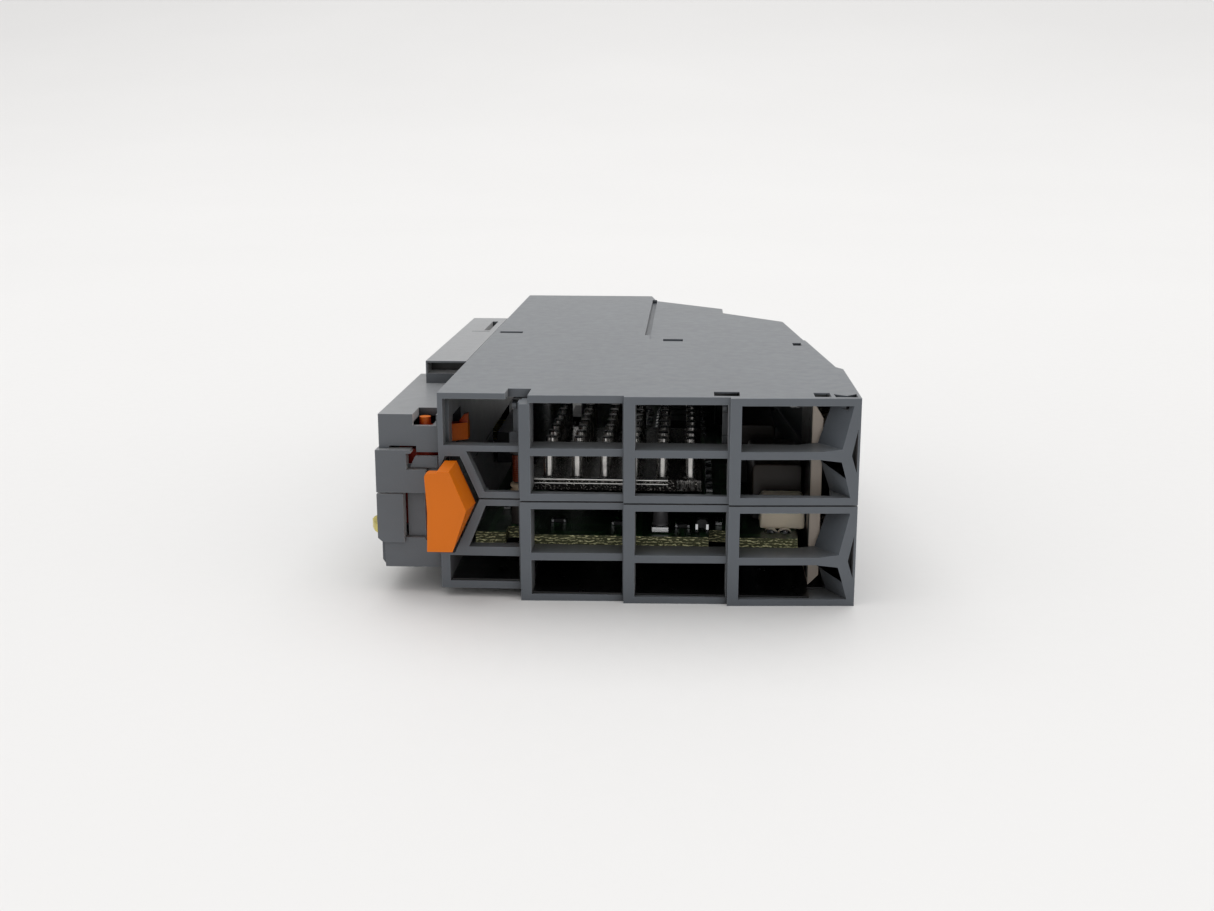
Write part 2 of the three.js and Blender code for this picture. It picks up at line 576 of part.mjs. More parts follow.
// ---------------------------------------------------------------- moving parts
// The lever: finger piece in front of the vents, arm, hub, upper ear and cam nose.
function lockingLever() {
  const [px, py] = PIVOT;
  const lip = [
    [-1.0, 15.85], [-0.86, 16.16], [-0.55, 16.3], [1.0, 16.3], [1.0, 6.8], [-0.9, 6.8], [-0.75, 11.5],
  ];
  const face = [[0.5, 16.5], [1.9, 16.5], [3.8, 11.8], [2.1, 6.8], [0.5, 6.8]];
  const root = [[0.8, 16.9], [2.2, 16.9], [4.35, 11.8], [1.6, 6.2], [0.5, 6.2]];
  const arm = [[-0.1, 0.6], [-0.1, 3.6], [px, py - 1.4], [px, py + 1.5], [0.6, 6.6], [2.3, 4.8], [2.3, 0.6]];
  const ear = [[px + 0.8, py + 0.4], [px + 4.45, py + 2.6], [px + 4.45, py + 4.2], [px, py + 1.5]];
  const finger = [[px + 3.4, 19.8], [px + 4.45, 19.8], [px + 4.45, 21.1], [px + 3.95, 20.95], [px + 3.4, 20.2]];
  const fin = [[px, py - 1.2], [px - 3.6, py - 0.9], [px - 3.6, py + 0.9], [px, py + 1.2]];
  const cam = [[px, py - 0.9], [px - CAM_R, py - CAM_NOSE], [px - CAM_R, py + CAM_NOSE], [px, py + 0.9]];
  return carve([
    prism('y', -3.0, -1.7, lip),
    prism('y', -3.0, 0.9, face, root),
    prism('z', 7.4, 11.9, arm),
    prism('z', 6.9, 19.9, circle(...PIVOT, HUB_R, 24)),
    prism('z', 19.8, 21.25, circle(px - 0.3, py, 0.68, 24)),
    prism('z', 15.2, 17.4, fin),
    prism('z', 17.9, 20.0, ear),
    prism('y', py + 2.7, py + 3.6, finger),
    prism('z', 8.0, 11.8, cam),
    prism('z', 8.0, 11.8, circle(px - CAM_R, py, CAM_NOSE, 16)),
  ], [prism('z', 5, 18.6, circle(...PIVOT, BORE_R, 24))]);
}

// The sliding jaw: a foot in front of the cam nose, a long bar and a hook at the rail's far edge.
function railLatch() {
  const foot = PIVOT[1] + CAM_NOSE + 0.2;
  return prism('z', 8.0, 11.9, [
    [-6.2, foot], [-4.4, foot], [-4.4, foot + 1.7], [-3.2, foot + 1.7], [-3.2, RAIL_FAR + 3.2],
    [BASE_REAR, RAIL_FAR + 3.2], [BASE_REAR, RAIL_FAR - 1.2], [HOOK_LIP_X, RAIL_FAR - 1.2],
    [HOOK_LIP_X, RAIL_FAR + 0.2], [-4.2, RAIL_FAR + 0.2], [-4.2, foot + 3.1], [-6.2, foot + 3.1],
  ]);
}

// ---------------------------------------------------------------- assembly
add('upper_housing_shell', GREY, upperHousing());
add('lower_housing_shell', GREY, lowerHousing());
add('status_panel', DARK_GREY, statusPanel());
add('light_guide', CREAM, lightGuide());
add('insulating_sheet', BLACK, insulatingSheet());
add('main_board', BOARD_GREEN, mainBoard());
add('power_board', BOARD_GREEN, box(12, 35.6, 8.4, 44, ...POWER_BOARD));
add('board_connector', BLACK, box(14, 33, 39, 41.5, BOARD[1] + 0.05, POWER_BOARD[0] - 0.05));
add('heat_sink', SINK_BLACK, heatSink());
add('driver_chip', BLACK, chip([14, 28], [11, 25], [POWER_BOARD[1] + 0.05, 12.1], 0.3));
add('thermal_pad', PAD_GREY, box(13.5, 28.5, 10.5, 25.5, 12.15, SINK_PLATE[0] - 0.05));
add('fuse_block', CREAM, chip([38.4, 43.9], [8.0, 11.7], [BOARD[1] + 0.1, 11.1], 0.4));
add('near_relay', BROWN, chip([37.5, 43.8], [12.1, 27.2], [BOARD[1] + 0.1, 14.3], 0.4));
add('far_relay', BROWN, chip([36.0, 41.4], [30.5, 50.5], [BOARD[1] + 0.1, 15.5], 0.4));
add('small_capacitor', TIN, capacitor(26.2, 6.6, 0.95, 10.6));
add('tall_capacitor', TIN, capacitor(9.0, 43, 2.8, 21.2));
add('bulk_capacitor', TIN, capacitor(18, 53, 5.0, 19.5));
add('choke', COPPER, choke());
add('signal_transistor', BLACK, chip([30.6, 32.0], [6.9, 8.2], [7.3, 8.5], 0.25));
add('microcontroller', BLACK, box(10, 20, 68, 78, 7.15, 8.6));
for (let i = 0; i < 4; i += 1) {
  const y = 62 + i * 4.9;
  add(`optocoupler_${i + 1}`, BLACK, chip([25, 31.4], [y, y + 4.2], [7.2, 9.4], 0.3));
}
add('bus_plug', BLACK, busPlug());
for (const [side, z0] of [['lower', 0], ['upper', SLOT]]) {
  add(`${side}_terminal_header`, DARK_GREY, terminalHeader(z0));
  for (let i = 0; i < CHAMBERS; i += 1) {
    add(`${side}_terminal_contact_${i + 1}`, TIN, terminalContact(i, z0));
  }
}

add('base_upper_shell', GREY, baseUpper());
add('base_lower_shell', GREY, baseLower());
add('base_board', BOARD_GREEN, box(-2.9, -2.1, 30, 86, 5, 20));
add('bus_socket', BLACK, busSocket());
add('ground_spring', BRASS, groundSpring());
add('lever_pin', STEEL, prism('z', 4.7, 18.4, circle(...PIVOT, PIN_R, 24)));
add('locking_lever', ORANGE, lockingLever());
add('rail_latch', DARK_GREY, railLatch());

const bounds = new THREE.Box3();
for (const { geometry } of parts) {
  geometry.computeBoundingBox();
  bounds.union(geometry.boundingBox);
}
const middle = bounds.getCenter(new THREE.Vector3());

const group = new THREE.Group();
for (const { name, material, geometry } of parts) {
  geometry.translate(-middle.x, -middle.y, -bounds.min.z);
  const flat = geometry.index ? geometry.toNonIndexed() : geometry;
  flat.computeVertexNormals();
  const mesh = new THREE.Mesh(flat, material);
  mesh.name = name;
  group.add(mesh);
}

export default group;
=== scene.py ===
"""Looks for a two-slot control relay module: a vented grey electronics housing, lying on its side,
plugged onto a bus base that carries an orange locking lever."""
import itertools
import math

import bmesh
import bpy
from mathutils import Matrix, Vector


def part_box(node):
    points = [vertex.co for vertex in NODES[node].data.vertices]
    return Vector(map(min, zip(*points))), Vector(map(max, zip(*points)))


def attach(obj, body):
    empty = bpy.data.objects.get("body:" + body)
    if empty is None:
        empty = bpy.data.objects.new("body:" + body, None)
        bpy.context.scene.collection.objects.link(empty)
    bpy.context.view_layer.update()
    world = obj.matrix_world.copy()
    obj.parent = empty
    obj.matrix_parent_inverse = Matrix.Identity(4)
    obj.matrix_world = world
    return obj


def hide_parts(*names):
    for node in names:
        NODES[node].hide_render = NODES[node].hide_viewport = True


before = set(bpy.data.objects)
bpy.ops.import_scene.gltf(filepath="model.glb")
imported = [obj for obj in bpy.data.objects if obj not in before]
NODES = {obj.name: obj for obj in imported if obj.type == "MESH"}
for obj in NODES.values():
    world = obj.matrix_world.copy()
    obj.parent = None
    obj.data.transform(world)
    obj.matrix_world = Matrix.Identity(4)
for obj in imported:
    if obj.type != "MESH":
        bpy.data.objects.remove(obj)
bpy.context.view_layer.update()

MM = 0.001
MODULE = "electronics_module"

# The housing's own frame, in millimetres: X from its rear face, Y from its vented end and Z from
# its lower side face. The deepest tooth of the vented end stands 0.6 mm in front of Y = 0.
SHELL_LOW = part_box("upper_housing_shell")[0]
TOOTH = 0.6 * MM
ORIGIN = Vector((SHELL_LOW.x, SHELL_LOW.y + TOOTH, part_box("lower_housing_shell")[0].z))
PLACE = Matrix.Translation(ORIGIN) @ Matrix.Scale(MM, 4)


def extent(node):
    """Lowest and highest corner of a CAD node in the housing's own frame, in millimetres."""
    low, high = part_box(node)
    return (low - ORIGIN) / MM, (high - ORIGIN) / MM


# ------------------------------------------------------------------------------------ materials
def srgb(code):
    """Linear RGBA from a six-digit hex colour."""
    channels = [int(code[i:i + 2], 16) / 255 for i in (0, 2, 4)]
    linear = [c / 12.92 if c <= 0.04045 else ((c + 0.055) / 1.055) ** 2.4 for c in channels]
    return (*linear, 1.0)


def shade(colour, factor):
    """The colour made lighter or darker."""
    return (*(min(c * factor, 1.0) for c in colour[:3]), 1.0)


class Surface:
    """A procedural material being wired up. Lengths are in millimetres."""

    def __init__(self, name, **fixed):
        self.material = bpy.data.materials.new(name)
        self.material.use_nodes = True
        self.tree = self.material.node_tree
        self.shader = self.tree.nodes["Principled BSDF"]
        for socket, value in fixed.items():
            self.shader.inputs[socket.replace("_", " ")].default_value = value
        coordinates = self.add("ShaderNodeTexCoord")
        self.place = coordinates.outputs["Object"]
        self.facing = coordinates.outputs["Normal"]

    def add(self, kind, inputs=None, **settings):
        node = self.tree.nodes.new(kind)
        for key, value in settings.items():
            setattr(node, key, value)
        for key, value in (inputs or {}).items():
            self.feed(value, node.inputs[key])
        return node

    def feed(self, value, socket):
        if isinstance(value, bpy.types.NodeSocket):
            self.tree.links.new(value, socket)
        else:
            socket.default_value = value

    def set(self, socket, value):
        self.feed(value, self.shader.inputs[socket])

    def stretched(self, stretch):
        """Coordinates that make a pattern longer along each axis by the given factor."""
        scale = tuple(1 / factor for factor in stretch)
        return self.add("ShaderNodeMapping", {"Vector": self.place, "Scale": scale}).outputs[0]

    def noise(self, size, detail=2.0, stretch=None):
        place = self.stretched(stretch) if stretch else self.place
        inputs = {"Vector": place, "Scale": 1 / (size * MM), "Detail": detail}
        return self.add("ShaderNodeTexNoise", inputs).outputs["Fac"]

    def spread(self, value, low, high, start=0.3, end=0.7):
        """Maps start..end of a pattern to low..high."""
        inputs = {"Value": value, "From Min": start, "From Max": end, "To Min": low, "To Max": high}
        return self.add("ShaderNodeMapRange", inputs).outputs[0]

    def blend(self, factor, first, second):
        node = self.add("ShaderNodeMix", data_type="RGBA")
        self.feed(factor, node.inputs[0])
        self.feed(first, node.inputs[6])
        self.feed(second, node.inputs[7])
        return node.outputs[2]

    def calc(self, operation, first, second):
        node = self.add("ShaderNodeMath", operation=operation)
        self.feed(first, node.inputs[0])
        self.feed(second, node.inputs[1])
        return node.outputs[0]

    def part_of(self, vector, axis):
        return self.add("ShaderNodeSeparateXYZ", {"Vector": vector}).outputs[axis]

    def relief(self, height, depth):
        """Bump from a 0..1 pattern that is depth millimetres tall."""
        inputs = {"Height": height, "Distance": depth * MM, "Strength": 1.0}
        self.set("Normal", self.add("ShaderNodeBump", inputs).outputs[0])

    def openness(self, reach):
        """0 deep inside a hollow, 1 where nothing stands within reach millimetres."""
        inputs = {"Distance": reach * MM}
        return self.add("ShaderNodeAmbientOcclusion", inputs, samples=8).outputs["AO"]

    def edges(self, radius):
        """0 on flat faces, rising to 1 on outer and inner edges."""
        rounded = self.add("ShaderNodeBevel", {"Radius": radius * MM}, samples=4).outputs[0]
        plain = self.add("ShaderNodeNewGeometry").outputs["Normal"]
        dot = self.add("ShaderNodeVectorMath", {0: rounded, 1: plain}, operation="DOT_PRODUCT")
        return self.spread(dot.outputs["Value"], 1.0, 0.0, 0.75, 0.99)


def moulded(name, colour, roughness=0.5, grain=0.006, edge_wear_and_highlight=1.25, clouding=0.05, painted_shade=None, **fixed):
    """Injection-moulded plastic: spark-eroded grain, faint flow clouding, and edges made brighter by the
    given factor, partly as wear and partly as painted highlight. If a shade colour is given, hollows and
    gaps are darkened towards it as painted shade."""
    s = Surface(name, **fixed)
    base = srgb(colour)
    clouds = s.noise(9.0, 3.0)
    body = s.blend(s.spread(clouds, 0.0, 1.0), shade(base, 1 - clouding), shade(base, 1 + clouding))
    # Brighter edges: partly wear from handling, partly a painted highlight where the edges catch light.
    worn_and_lit_edges = s.calc("MULTIPLY", s.edges(0.2), s.spread(s.noise(1.6, 4.0), 0.2, 0.9))
    finish = s.blend(worn_and_lit_edges, body, shade(base, edge_wear_and_highlight))
    if painted_shade:
        # Painted shade: hollows and gaps, found by ambient occlusion, are darkened towards the shade
        # colour.
        finish = s.blend(s.spread(s.openness(10.0), 0.0, 1.0, 0.15, 0.6), srgb(painted_shade), finish)
    s.set("Base Color", finish)
    s.set("Roughness", s.spread(s.noise(1.4, 5.0), roughness - 0.03, roughness + 0.04))
    s.relief(s.noise(0.16, 3.0), grain)
    return s.material


# A wave texture of this scale repeats once in every unit of length.
WAVE_SCALE = 0.314


def circuit_board():
    """Green solder mask over copper traces, and bare glass weave on the cut edges."""
    s = Surface("glass_epoxy_board")
    upright = s.add("ShaderNodeMath", {0: s.part_of(s.facing, "Z")}, operation="ABSOLUTE")
    on_face = s.spread(upright.outputs[0], 0.0, 1.0, 0.4, 0.6)

    runs = []
    for direction, width in (("X", 2.6), ("Y", 3.4)):
        inputs = {"Vector": s.place, "Scale": WAVE_SCALE / (width * MM)}
        lines = s.add("ShaderNodeTexWave", inputs, bands_direction=direction)
        runs.append(s.spread(lines.outputs["Fac"], 0.0, 1.0, 0.80, 0.86))
    zones = s.spread(s.noise(7.0, 0.0), 0.0, 1.0, 0.49, 0.51)
    picked = s.calc("MULTIPLY", runs[0], zones)
    other = s.calc("MULTIPLY", runs[1], s.calc("SUBTRACT", 1.0, zones))
    traces = s.calc("MAXIMUM", picked, other)
    mask = s.blend(s.noise(5.0), srgb("0e2412"), srgb("14301a"))
    face = s.blend(traces, mask, srgb("1f4423"))

    inputs = {"Vector": s.stretched((1.6, 1, 1)), "Scale": WAVE_SCALE / (0.34 * MM),
              "Distortion": 6.0, "Detail": 2.0, "Detail Scale": 2.2}
    yarns = s.add("ShaderNodeTexWave", inputs, bands_direction="Z").outputs["Fac"]
    specks = s.spread(s.noise(0.22, 2.0, stretch=(1.8, 1, 1)), 0.0, 1.0, 0.40, 0.62)
    glass = s.calc("MULTIPLY", s.spread(yarns, 0.0, 1.0, 0.55, 0.85), specks)
    edge = s.blend(glass, srgb("45482a"), srgb("ece8b4"))
    s.set("Base Color", s.blend(on_face, edge, face))
    s.set("Roughness", s.spread(on_face, 0.7, 0.34, 0.0, 1.0))
    s.relief(s.calc("ADD", s.calc("MULTIPLY", traces, on_face), glass), 0.03)
    return s.material


def metal(name, colour, roughness, grain=0.004, brushed=(8, 1, 1), tarnish=0.75):
    """Bare metal: fine scratches in one direction and patches of duller oxide."""
    s = Surface(name, Metallic=1.0)
    base = srgb(colour)
    patches = s.noise(1.8, 4.0)
    s.set("Base Color", s.blend(s.spread(patches, 0.0, 1.0, 0.35, 0.65), shade(base, tarnish), base))
    lines = s.noise(0.12, 2.0, stretch=brushed)
    s.set("Roughness", s.spread(lines, roughness, roughness + 0.14))
    s.relief(lines, grain)
    return s.material


def sawn_metal():
    """Dark, torn aluminium with bright burrs, as a saw leaves it."""
    s = Surface("sawn_aluminium", Metallic=1.0)
    burrs = s.spread(s.noise(0.22, 4.0), 0.0, 1.0, 0.56, 0.66)
    s.set("Base Color", s.blend(burrs, srgb("2b2927"), srgb("cfcbc4")))
    s.set("Roughness", s.spread(burrs, 0.6, 0.22, 0.0, 1.0))
    s.relief(s.noise(0.18, 4.0), 0.08)
    return s.material


def enamelled_wire():
    """Copper magnet wire under a red-brown enamel."""
    s = Surface("enamelled_wire", Metallic=0.35, Coat_Weight=0.5, Coat_Roughness=0.15)
    s.set("Base Color", s.blend(s.noise(0.8, 3.0), srgb("5e1f10"), srgb("9a4423")))
    s.set("Roughness", s.spread(s.noise(0.3, 2.0), 0.3, 0.5))
    s.relief(s.noise(0.2, 2.0), 0.01)
    return s.material


def silicone_pad():
    """Grey heat-conducting pad with filler grains."""
    s = Surface("silicone_pad")
    s.set("Base Color", s.blend(s.noise(0.4, 4.0), srgb("8d8f98"), srgb("b4b6be")))
    s.set("Roughness", s.spread(s.noise(1.0), 0.7, 0.9))
    s.relief(s.noise(0.25, 3.0), 0.03)
    return s.material


def studio_paper():
    """Pale backdrop paper."""
    s = Surface("studio_paper")
    s.set("Base Color", s.blend(s.noise(260.0, 3.0), srgb("e1e0df"), srgb("e7e6e5")))
    s.set("Roughness", s.spread(s.noise(2.0, 3.0), 0.55, 0.7))
    s.relief(s.noise(1.2, 4.0), 0.01)
    return s.material


# The dark colours given for hollows below are painted shade.
HOUSING = moulded("housing_plastic", "575c62", 0.40, edge_wear_and_highlight=1.6, painted_shade="0c0d0e",
                  Sheen_Weight=0.22, Sheen_Roughness=0.4)
BASE_PLASTIC = moulded("base_plastic", "575b60", 0.36, grain=0.008, edge_wear_and_highlight=1.5, painted_shade="0e0f10",
                       Sheen_Weight=0.65, Sheen_Roughness=0.4)
PANEL = moulded("panel_plastic", "44484e", 0.5)
HEADER = moulded("header_plastic", "4a4e54", 0.55)
LATCH = moulded("latch_plastic", "4b4f55", 0.5)
# The lever's hollows turn deep red: painted shade.
ORANGE = moulded("lever_plastic", "d56c00", 0.45, grain=0.004, edge_wear_and_highlight=1.2, painted_shade="8a0c02",
                 Specular_IOR_Level=0.3)
CREAM = moulded("cream_plastic", "f6e8d0", 0.42, Subsurface_Weight=0.1,
                Subsurface_Radius=(0.001, 0.0008, 0.0005))
GUIDE = moulded("light_guide_plastic", "a99d91", 0.35, edge_wear_and_highlight=1.1, Subsurface_Weight=0.1,
                Subsurface_Radius=(0.001, 0.0009, 0.0008))
# The near-black colour in the relays' hollows is painted shade.
RELAY_BROWN = moulded("relay_plastic", "30241c", 0.4, painted_shade="060504")
# Near-black film: an insulating sheet whose black is partly painted shade on the housing's floor, and a
# screen of painted shade beside the light guide.
SHADE_FILM = moulded("insulating_film_and_shade", "0b0b0c", 0.3, grain=0.002, edge_wear_and_highlight=1.5)
SLEEVE = moulded("can_sleeve", "4b4a4c", 0.3, grain=0.002)
BLACK = moulded("package_epoxy", "1b1c1e", 0.55, grain=0.01, edge_wear_and_highlight=1.6, clouding=0.12)
CONNECTOR = moulded("connector_plastic", "202226", 0.45, edge_wear_and_highlight=1.5)
FERRITE = moulded("ferrite", "3a3532", 0.6, grain=0.02, clouding=0.15)
BOBBIN = moulded("bobbin_plastic", "b9a58c", 0.5)
BOARD = circuit_board()
SAWN = sawn_metal()
ALUMINIUM = metal("sink_aluminium", "c9c7c4", 0.16, grain=0.006, brushed=(1, 1, 8), tarnish=0.6)
MILLED = metal("milled_aluminium", "f4f2ee", 0.2, grain=0.001, brushed=(20, 1, 1), tarnish=0.9)
CAN = metal("can_aluminium", "d4d6d8", 0.26)
TIN = metal("tinned_metal", "d2d3d4", 0.18, tarnish=0.85)
BRASS = metal("spring_brass", "c9b83e", 0.24)
STEEL = metal("pin_steel", "b4b6b9", 0.2, brushed=(1, 1, 12))
ENAMEL = enamelled_wire()
PAD = silicone_pad()


# ------------------------------------------------------------------------ the CAD nodes' finish
def smooth_shading():
    """A node group that shades every face smoothly; the weighted normals keep flat faces flat."""
    group = bpy.data.node_groups.new("smooth_shading", "GeometryNodeTree")
    for direction in ("INPUT", "OUTPUT"):
        group.interface.new_socket("Geometry", in_out=direction, socket_type="NodeSocketGeometry")
    source = group.nodes.new("NodeGroupInput")
    smooth = group.nodes.new("GeometryNodeSetShadeSmooth")
    sink = group.nodes.new("NodeGroupOutput")
    group.links.new(source.outputs[0], smooth.inputs["Geometry"])
    group.links.new(smooth.outputs["Geometry"], sink.inputs[0])
    return group


SMOOTH = smooth_shading()


def finish_node(name, material, edge):
    """Gives a CAD node its material and rounds its edges by edge millimetres."""
    node = NODES[name]
    node.data.materials.clear()
    node.data.materials.append(material)
    weld = node.modifiers.new("weld", "WELD")
    weld.merge_threshold = 1e-6
    planar = node.modifiers.new("planar", "DECIMATE")
    planar.decimate_type = "DISSOLVE"
    planar.angle_limit = math.radians(0.5)
    node.modifiers.new("smooth", "NODES").node_group = SMOOTH
    bevel = node.modifiers.new("bevel", "BEVEL")
    bevel.width = edge * MM
    bevel.segments = 2
    bevel.limit_method = "ANGLE"
    bevel.angle_limit = math.radians(30)
    bevel.harden_normals = True
    weighted = node.modifiers.new("weighted", "WEIGHTED_NORMAL")
    weighted.weight = 100


OPTOCOUPLERS = [f"optocoupler_{i}" for i in range(1, 5)]
CONTACTS = [f"{side}_terminal_contact_{i}" for side in ("lower", "upper") for i in range(1, 7)]

# Material, width of the rounded edges in millimetres, and the nodes that get them.
FINISHES = [
    (HOUSING, 0.12, ["upper_housing_shell", "lower_housing_shell"]),
    (BASE_PLASTIC, 0.14, ["base_upper_shell", "base_lower_shell"]),
    (PANEL, 0.15, ["status_panel"]),
    (HEADER, 0.1, ["lower_terminal_header", "upper_terminal_header"]),
    (LATCH, 0.15, ["rail_latch"]),
    (ORANGE, 0.28, ["locking_lever"]),
    (GUIDE, 0.2, ["light_guide"]),
    (CREAM, 0.35, ["fuse_block"]),
    (RELAY_BROWN, 0.3, ["near_relay", "far_relay"]),
    # The insulating sheet's black is partly painted shade on the housing's floor seen through the vents.
    (SHADE_FILM, 0.03, ["insulating_sheet"]),
    (BLACK, 0.12, ["driver_chip", "signal_transistor", "microcontroller"]),
    (BLACK, 0.15, OPTOCOUPLERS),
    (CONNECTOR, 0.15, ["board_connector", "bus_plug", "bus_socket"]),
    (BOARD, 0.04, ["main_board", "power_board", "base_board"]),
    (PAD, 0.04, ["thermal_pad"]),
    (BRASS, 0.08, ["ground_spring"]),
    (STEEL, 0.1, ["lever_pin"]),
    (TIN, 0.08, CONTACTS),
]
for material, edge, names in FINISHES:
    for name in names:
        finish_node(name, material, edge)


# ------------------------------------------------------------------------------- mesh building
class Solid:
    """Points in the housing's own frame and faces with a finish number each."""

    def __init__(self):
        self.points = []
        self.faces = []
        self.finishes = []

    def add(self, shape, finish=0):
        points, faces = shape
        start = len(self.points)
        self.points += [tuple(p) for p in points]
        self.faces += [[start + i for i in face] for face in faces]
        self.finishes += [finish] * len(faces)
        return self


def block(low, high, cut):
    """A box whose twelve edges are cut off at 45 degrees."""
    corners = list(itertools.product((0, 1), repeat=3))
    points = []
    index = {}
    for corner in corners:
        for axis in range(3):
            index[corner, axis] = len(points)
            inset = [0 if k == axis else cut for k in range(3)]
            points.append([high[k] - inset[k] if corner[k] else low[k] + inset[k] for k in range(3)])
    faces = [[index[corner, axis] for axis in range(3)] for corner in corners]
    for axis in range(3):
        u, v = (axis + 1) % 3, (axis + 2) % 3

        def corner_at(a, b, along):
            spot = [0, 0, 0]
            spot[axis], spot[u], spot[v] = along, a, b
            return tuple(spot)

        for side in (0, 1):
            loop = ((0, 0), (1, 0), (1, 1), (0, 1))
            faces.append([index[corner_at(a, b, side), axis] for a, b in loop])
        for a, b in itertools.product((0, 1), repeat=2):
            start, end = corner_at(a, b, 0), corner_at(a, b, 1)
            faces.append([index[start, u], index[end, u], index[end, v], index[start, v]])
    return points, faces


def stacked_rings(points, size):
    """Faces of a tube with closed ends, from rings of size points each."""
    faces = [list(range(size)), [len(points) - 1 - k for k in range(size)]]
    for ring in range(len(points) // size - 1):
        for k in range(size):
            a = ring * size + k
            b = ring * size + (k + 1) % size
            faces.append([a, b, b + size, a + size])
    return faces


def turned(x, y, profile, sides=24):
    """A solid of revolution about a line along Z, from (radius, z) pairs."""
    angles = [math.tau * (k + 0.5) / sides for k in range(sides)]
    points = [(x + radius * math.cos(angle), y + radius * math.sin(angle), z)
              for radius, z in profile for angle in angles]
    return points, stacked_rings(points, sides)


def swept(path, section, side):
    """A section of (across, up) pairs carried along a path; side says which way across points."""
    path = [Vector(p) for p in path]
    side = Vector(side).normalized()
    points = []
    for i, spot in enumerate(path):
        ahead = (path[min(i + 1, len(path) - 1)] - path[max(i - 1, 0)]).normalized()
        up = side.cross(ahead).normalized()
        points += [spot + side * across + up * rise for across, rise in section]
    return points, stacked_rings(points, len(section))


def flat_section(width, thickness):
    """The section of a stamped lead, with its corners cut."""
    w, t = width / 2, thickness / 2
    cut = min(width, thickness) * 0.2
    return [(-w, cut - t), (cut - w, -t), (w - cut, -t), (w, cut - t),
            (w, t - cut), (w - cut, t), (cut - w, t), (-w, t - cut)]


def round_section(radius, sides):
    """The section of a round wire or bead."""
    angles = [math.tau * k / sides for k in range(sides)]
    return [(radius * math.cos(angle), radius * math.sin(angle)) for angle in angles]


def piece(name, solid, materials, replaces=()):
    """Makes the object, gives its faces their materials, carries it on the module and hides the nodes it
    replaces.
    """
    mesh = bpy.data.meshes.new(name)
    mesh.from_pydata([PLACE @ Vector(p) for p in solid.points], [], solid.faces)
    for polygon, finish in zip(mesh.polygons, solid.finishes):
        polygon.material_index = finish
    for material in materials:
        mesh.materials.append(material)
    form = bmesh.new()
    form.from_mesh(mesh)
    bmesh.ops.recalc_face_normals(form, faces=form.faces)
    form.to_mesh(mesh)
    form.free()
    mesh.shade_smooth()
    mesh.set_sharp_from_angle(angle=math.radians(35))
    thing = bpy.data.objects.new(name, mesh)
    bpy.context.scene.collection.objects.link(thing)
    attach(thing, MODULE)
    if replaces:
        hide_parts(*replaces)


# ------------------------------------------------------------------------------------ heat sink
PIN_PITCH = 3.42
PIN_RADIUS = 0.66
PIN_COLUMNS = 6
PIN_ROWS = 9
PIN_INSET = (2.4, 1.1)
PLATE_THICKNESS = 1.5
PLATE_TAIL = 3.2
TOP_SKIN = 0.28
BEADS = ((0.17, 0.15), (0.64, 0.11))
BURRS = 12
PLAIN, TORN, BRIGHT = range(3)


def sink_plate(solid, low, high, top):
    """A torn core under a plain skin, with bright milled beads along the near edge. Each bead is
    given by its depth below the top and its radius. The skin of the tail is torn as well."""
    near = low.y + 0.1
    tail = high.x - PLATE_TAIL - 0.9
    solid.add(block((low.x, near, low.z), (high.x, high.y, top - 0.2), 0.06), TORN)
    solid.add(block((low.x, near, top - TOP_SKIN), (tail, high.y, top), 0.08), PLAIN)
    solid.add(block((tail - 0.1, near, top - TOP_SKIN), (high.x, high.y, top), 0.08), TORN)
    for below, radius in BEADS:
        line = [(x, low.y + radius, top - below) for x in (low.x, tail)]
        solid.add(swept(line, round_section(radius, 12), (0, 1, 0)), BRIGHT)


def sink_pin(x, y, root, tip):
    """A turned pin that flares at its root and is chamfered at its tip."""
    chamfer = 0.14
    return turned(x, y, [
        (PIN_RADIUS + 0.22, root - 0.1), (PIN_RADIUS + 0.18, root + 0.02), (PIN_RADIUS, root + 0.2),
        (PIN_RADIUS, tip - chamfer), (PIN_RADIUS - chamfer, tip),
    ], 20)


def uneven(middle, swing, phase):
    """A length that swings about its middle, so that torn metal doesn't repeat."""
    return middle + swing * math.sin(phase)


def sink_burrs(solid, low, high, top):
    """Lumps torn out along the near edge of the tail. Every fourth one hangs only from the top."""
    start = high.x - PLATE_TAIL + 0.25
    step = (PLATE_TAIL - 0.5) / (BURRS - 1)
    for k in range(BURRS):
        x = start + k * step
        half = uneven(0.17, 0.05, k * 3.7)
        bottom = low.z + uneven(0.3, 0.25, k * 2.3)
        if k % 4 == 1:
            bottom += 0.7
        peak = top + uneven(0.0, 0.05, k * 4.3)
        front = low.y - uneven(0.1, 0.08, k * 1.9)
        solid.add(block((x - half, front, bottom), (x + half, low.y + 0.4, peak), 0.09), PLAIN)


def heat_sink():
    """Plate with a bright milled edge, a torn sawn tail and turned pins."""
    low, high = extent("heat_sink")
    top = low.z + PLATE_THICKNESS
    solid = Solid()
    sink_plate(solid, low, high, top)
    first = Vector((low.x + PIN_INSET[0], low.y + PIN_INSET[1]))
    for column, row in itertools.product(range(PIN_COLUMNS), range(PIN_ROWS)):
        pin = sink_pin(first.x + column * PIN_PITCH, first.y + row * PIN_PITCH, top, high.z)
        solid.add(pin, PLAIN)
    sink_burrs(solid, low, high, top)
    piece("heat_sink_pins", solid, [ALUMINIUM, SAWN, MILLED], ["heat_sink"])


# ---------------------------------------------------------------------------- wound and canned
CAN_FOOT = 0.8
SCORE = (0.55, 0.04)
WIRE_GAUGE = 0.13
STEPS_PER_TURN = 16


def centre_of(low, high):
    """Where the middle of a node's box lies, seen from above."""
    return (low.x + high.x) / 2, (low.y + high.y) / 2


